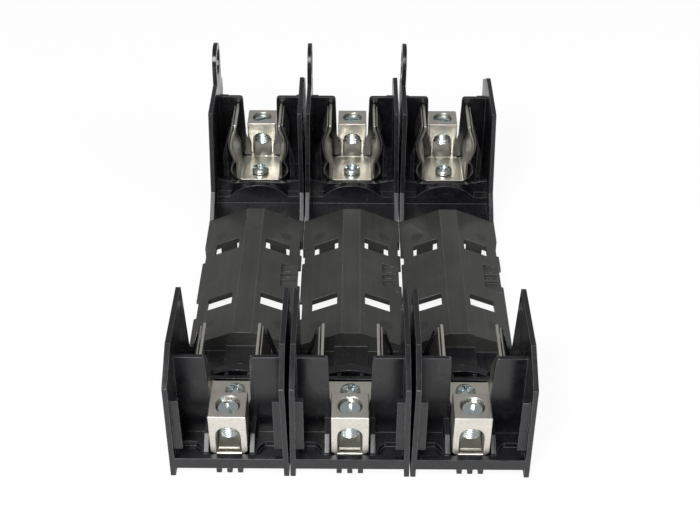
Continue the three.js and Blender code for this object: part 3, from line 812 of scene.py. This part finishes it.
@dataclass
class RailLatch:
    """The sliding latch of one pole and its coil spring."""

    pole: Pole
    edge_radius: float = 0.15 * MM
    wire: float = 0.35 * MM
    turns: int = 6
    steps_per_turn: int = 28
    sides: int = 10
    closing: float = 0.55
    travel: float = 3.2 * MM

    def build(self, dresser: Dresser) -> None:
        """Builds the latch and the spring.

        Args:
            dresser: gives the pieces their finish and their body.
        """
        name = self.pole.value
        latch = reworked(f"{name}_pull_latch", f"{name}_rail_latch", self.edge_radius)
        dresser.dress(latch, Slot.PLASTIC, f"{name}_latch")
        self.build_spring(dresser)

    def build_spring(self, dresser: Dresser) -> None:
        """Builds the coil, a circle carried along a helix.

        The angle runs evenly. The rise along Y is share - closing sin(2 pi share) / 2 pi, so the
        pitch closes up towards both ends.

        Args:
            dresser: gives the coil its finish and its body.
        """
        node = f"{self.pole.value}_latch_spring"
        low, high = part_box(node)
        middle = (low + high) / 2
        radius = (high.z - low.z - self.wire) / 2
        share = np.linspace(0.0, 1.0, self.turns * self.steps_per_turn + 1)
        angle = 2 * np.pi * self.turns * share
        rise = share - np.sin(2 * np.pi * share) * self.closing / (2 * np.pi)
        along = low.y + self.wire / 2 + rise * (high.y - low.y - self.wire)
        path = np.c_[middle.x + radius * np.cos(angle), along, middle.z + radius * np.sin(angle)]
        outward = np.c_[np.cos(angle), np.zeros_like(angle), np.sin(angle)]
        tangent = np.gradient(path, axis=0)
        tangent /= np.linalg.norm(tangent, axis=1, keepdims=True)
        side = np.cross(tangent, outward)
        around = np.linspace(0.0, 2 * np.pi, self.sides, endpoint=False)
        cos, sin = np.cos(around)[None, :, None], np.sin(around)[None, :, None]
        ring = cos * outward[:, None] + sin * side[:, None]
        tube = closed_tube(path[:, None] + ring * self.wire / 2)
        spring = new_object(f"{self.pole.value}_latch_coil", tube, COIL_SMOOTH)
        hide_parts(node)
        dresser.dress(spring, Slot.SPRING, "block")
        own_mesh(spring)


@dataclass
class BoxLug:
    """The aluminium box lug of one end with its clamping screw."""

    pole: Pole
    end: End
    edge_radius: float = 0.28 * MM
    pitch: float = 0.8 * MM
    depth: float = 0.34 * MM
    rows_per_pitch: int = 8
    around: int = 72
    tip_cone: float = 0.9 * MM
    top_cone: float = 0.45 * MM
    top_slope: float = 0.9
    slot_width: float = 1.1 * MM
    slot_depth: float = 1.5 * MM
    slot_turn: float = 90.0

    def build(self, dresser: Dresser) -> None:
        """Builds the lug and its screw.

        Args:
            dresser: gives the pieces their finish and their body.
        """
        name = f"{self.pole.value}_{self.end.value}"
        lug = reworked(f"{name}_box_lug", f"{name}_lug", self.edge_radius)
        dresser.dress(lug, Slot.ALUMINIUM, "block")
        screw = self.screw(f"{name}_clamp_screw", f"{name}_lug_screw")
        dresser.dress(screw, Slot.ZINC, f"{name}_screw")

    def screw(self, name: str, node: str) -> bpy.types.Object:
        """Builds the threaded screw.

        Its radius falls from the crest by a triangle wave of height over pitch less angle over a turn,
        and is held under cones at the tip and the top.

        Args:
            name: the piece's name.
            node: the CAD node it stands for.

        Returns:
            The screw.
        """
        low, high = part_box(node)
        middle = (low + high) / 2
        crest = (high.x - low.x) / 2
        length = high.z - low.z
        rows = int(length / self.pitch * self.rows_per_pitch)
        height = np.linspace(0.0, length, rows)[:, None]
        angle = np.linspace(0.0, 2 * np.pi, self.around, endpoint=False)[None, :]
        wave = np.mod(height / self.pitch - angle / (2 * np.pi), 1.0)
        radius = crest - self.depth * np.abs(2 * wave - 1)
        tip = crest - self.tip_cone + height
        top = crest - self.top_cone + (length - height) * self.top_slope
        radius = np.minimum(np.minimum(radius, tip), top)
        points = np.stack(
            [
                middle.x + radius * np.cos(angle),
                middle.y + radius * np.sin(angle),
                np.broadcast_to(low.z + height, radius.shape),
            ],
            axis=-1,
        )
        made = new_object(name, closed_tube(points), SCREW_SMOOTH)
        turn = math.radians(self.slot_turn)
        size = (3 * crest, self.slot_width, 2 * self.slot_depth)
        cut_out(made, [box_mesh(size, (middle.x, middle.y, high.z), turn)])
        made.data.set_sharp_from_angle(angle=math.radians(SCREW_SMOOTH))
        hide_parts(node)
        return made


@dataclass
class ClipAssembly:
    """The fuse clip of one end with its backing spring, screw and nut."""

    pole: Pole
    end: End
    clip_edge: float = 0.16 * MM
    spring_edge: float = 0.1 * MM
    shank: float = 1.9 * MM
    tip_step: float = 0.5 * MM
    thread_depth: float = 0.3 * MM
    thread_step: float = 0.35 * MM
    thread_start: float = 0.3 * MM
    thread_clear: float = 0.4 * MM
    head_height: float = 2.2 * MM
    head_edge: float = 0.2 * MM
    head_wall: float = 0.75 * MM
    dome: float = 1.2
    dome_rows: int = 9
    around: int = 40
    cross: Colour = (3.9 * MM, 0.85 * MM, 2.6 * MM)
    slot: Colour = (7.0 * MM, 0.8 * MM, 1.4 * MM)
    drive_turn: float = 20.0

    def build(self, dresser: Dresser) -> None:
        """Builds the clip, its backing spring, the nut and the screw.

        Args:
            dresser: gives the pieces their finish and their body.
        """
        name = f"{self.pole.value}_{self.end.value}"
        clip = reworked(f"{name}_fuse_clip", f"{name}_clip", self.clip_edge)
        dresser.dress(clip, Slot.TIN, "block")
        backing = reworked(f"{name}_clip_backing", f"{name}_clip_spring", self.spring_edge)
        dresser.dress(backing, Slot.SPRING, "block")
        nut = reworked(f"{name}_square_nut", f"{name}_clip_nut", self.clip_edge)
        dresser.dress(nut, Slot.ZINC, "block")
        dresser.dress(self.pan_screw(f"{name}_pan_screw", f"{name}_clip_screw"), Slot.ZINC, "block")

    def pan_screw(self, name: str, node: str) -> bpy.types.Object:
        """Builds the pan-head screw, a profile of radius by height turned about its axis.

        Its dome follows radius = head cos(t) and rise = sin(t) / sin(dome), for t from 0 to dome. A
        cross and a slot are cut into it.

        Args:
            name: the piece's name.
            node: the CAD node it stands for.

        Returns:
            The screw.
        """
        low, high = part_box(node)
        middle = (low + high) / 2
        head = (high.x - low.x) / 2
        under = high.z - self.head_height
        wall = under + self.head_wall
        root = self.shank - self.thread_depth
        bend = np.linspace(0.0, 1.0, self.dome_rows) * self.dome
        threads = np.arange(low.z + self.thread_start, under - self.thread_clear, self.thread_step)
        ridge = np.where(np.arange(len(threads)) % 2, self.shank, root)
        neck = [root, head - self.head_edge, head]
        radius = np.concatenate([[self.shank - self.tip_step], ridge, neck, head * np.cos(bend)])
        rise = wall + np.sin(bend) / math.sin(self.dome) * (high.z - wall)
        seat = [under, under, under + self.head_edge]
        height = np.concatenate([[low.z], threads, seat, rise])
        angle = np.linspace(0.0, 2 * np.pi, self.around, endpoint=False)
        points = np.stack(
            [
                middle.x + radius[:, None] * np.cos(angle),
                middle.y + radius[:, None] * np.sin(angle),
                np.repeat(height[:, None], len(angle), axis=1),
            ],
            axis=-1,
        )
        made = new_object(name, closed_tube(points), SCREW_SMOOTH)
        turn = math.radians(self.drive_turn)
        place = (middle.x, middle.y, high.z)
        cutters = [
            box_mesh(self.cross, place, turn),
            box_mesh((self.cross[1], self.cross[0], self.cross[2]), place, turn),
            box_mesh(self.slot, place, turn),
        ]
        cut_out(made, cutters)
        made.data.set_sharp_from_angle(angle=math.radians(SCREW_SMOOTH))
        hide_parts(node)
        return made


@dataclass(frozen=True)
class Lamp:
    """A square area lamp aimed at the object: its place, its side and its power in watts."""

    name: str
    place: Colour
    size: float
    power: float

    def build(self, target: Vector) -> None:
        """Hangs the lamp.

        Args:
            target: the point that it faces.
        """
        data = bpy.data.lights.new(self.name, "AREA")
        data.size, data.energy = self.size, self.power
        made = bpy.data.objects.new(self.name, data)
        made.location = self.place
        made.rotation_euler = (target - Vector(self.place)).to_track_quat("-Z", "Y").to_euler()
        bpy.context.scene.collection.objects.link(made)


@dataclass
class Studio:
    """Floor, world, lamps and camera."""

    lamps: tuple[Lamp, ...] = (
        Lamp("key", (-0.25, -0.75, 0.85), 0.55, 14.0),
        Lamp("fill", (0.85, -0.35, 0.45), 0.5, 4.0),
    )
    target: Colour = (0.0, 0.0, 0.02)
    ambient: float = 0.36
    paper: float = 0.86
    glow: float = 0.9

    camera_place: Colour = (0.00065, -0.3309, 0.2748)
    pitch: float = 0.669621
    yaw: float = -0.003384
    roll: float = 0.003662
    lens: float = 61.74
    floor_half: float = 3.0
    floor_drop: float = 0.05 * MM

    def build(self) -> None:
        """Builds everything round the object."""
        self.build_floor()
        self.build_world()
        for lamp in self.lamps:
            lamp.build(Vector(self.target))
        self.build_camera()

    def build_floor(self) -> None:
        """Builds a large pale floor just under the base, which glows to the camera only."""
        half, low = self.floor_half, -self.floor_drop
        mesh = bpy.data.meshes.new("floor")
        corners = [(-half, -half, low), (half, -half, low), (half, half, low), (-half, half, low)]
        mesh.from_pydata(corners, [], [(0, 1, 2, 3)])
        floor = bpy.data.objects.new("floor", mesh)
        bpy.context.scene.collection.objects.link(floor)
        material = bpy.data.materials.new("floor_paper")
        material.use_nodes = True
        tree = material.node_tree
        tree.nodes.clear()
        graph = Graph(tree)
        paper = graph.node("BsdfDiffuse", {"Color": (*[self.paper] * 3, 1.0)}).outputs[0]
        glow = graph.node("Emission", {"Color": (1.0, 1.0, 1.0, 1.0), "Strength": 1.0}).outputs[0]
        seen = graph.node("LightPath").outputs["Is Camera Ray"]
        share = graph.math("MULTIPLY", seen, self.glow)
        shader = graph.node("MixShader", {0: share, 1: paper, 2: glow}).outputs[0]
        graph.node("OutputMaterial", {"Surface": shader})
        mesh.materials.append(material)

    def build_world(self) -> None:
        """Builds a world that is white to the camera and a soft grey light to the object."""
        world = bpy.data.worlds.new("studio")
        world.use_nodes = True
        tree = world.node_tree
        tree.nodes.clear()
        graph = Graph(tree)
        seen = graph.node("LightPath").outputs["Is Camera Ray"]
        strength = graph.ramp(seen, 0.0, 1.0, self.ambient, 1.0)
        light = graph.node("Background", {"Color": (1.0, 1.0, 1.0, 1.0), "Strength": strength})
        graph.node("OutputWorld", {"Surface": light.outputs[0]})
        bpy.context.scene.world = world
        bpy.context.scene.view_settings.view_transform = "Standard"

    def build_camera(self) -> None:
        """Aims the camera down by pitch, with a small yaw and roll."""
        pitch, yaw, roll = self.pitch, self.yaw, self.roll
        forward = Vector(
            (math.sin(yaw) * math.cos(pitch), math.cos(yaw) * math.cos(pitch), -math.sin(pitch))
        )
        right = Vector((math.cos(yaw), -math.sin(yaw), 0.0))
        up = right.cross(forward)
        side = math.cos(roll) * right + math.sin(roll) * up
        above = math.cos(roll) * up - math.sin(roll) * right
        data = bpy.data.cameras.new("camera")
        data.lens, data.sensor_width = self.lens, 36.0
        data.clip_start, data.clip_end = 0.01, 20.0
        made = bpy.data.objects.new("camera", data)
        turn = Matrix((side, above, -forward)).transposed().to_4x4()
        made.matrix_world = Matrix.Translation(self.camera_place) @ turn
        bpy.context.scene.collection.objects.link(made)
        bpy.context.scene.camera = made


SLOT_TURNS: dict[tuple[Pole, End], float] = {
    (Pole.LEFT, End.LINE): 112.0,
    (Pole.MIDDLE, End.LINE): 90.0,
    (Pole.RIGHT, End.LINE): 78.0,
    (Pole.LEFT, End.LOAD): 20.0,
    (Pole.MIDDLE, End.LOAD): 0.0,
    (Pole.RIGHT, End.LOAD): 160.0,
}


def main() -> None:
    """Builds the finishes, every sub-assembly in order, and the studio."""
    logging.basicConfig(level=logging.INFO, format="%(message)s")
    effects = Effects()
    dresser = Dresser({finish.slot: finish.build(effects) for finish in FINISHES})
    for pole in Pole:
        PoleMoulding(pole).build(dresser)
        RailLatch(pole).build(dresser)
        for end in End:
            turn = SLOT_TURNS[(pole, end)]
            BoxLug(pole, end, slot_turn=turn).build(dresser)
            ClipAssembly(pole, end, drive_turn=turn / 2).build(dresser)
    Studio().build()


if __name__ == "__main__":
    main()
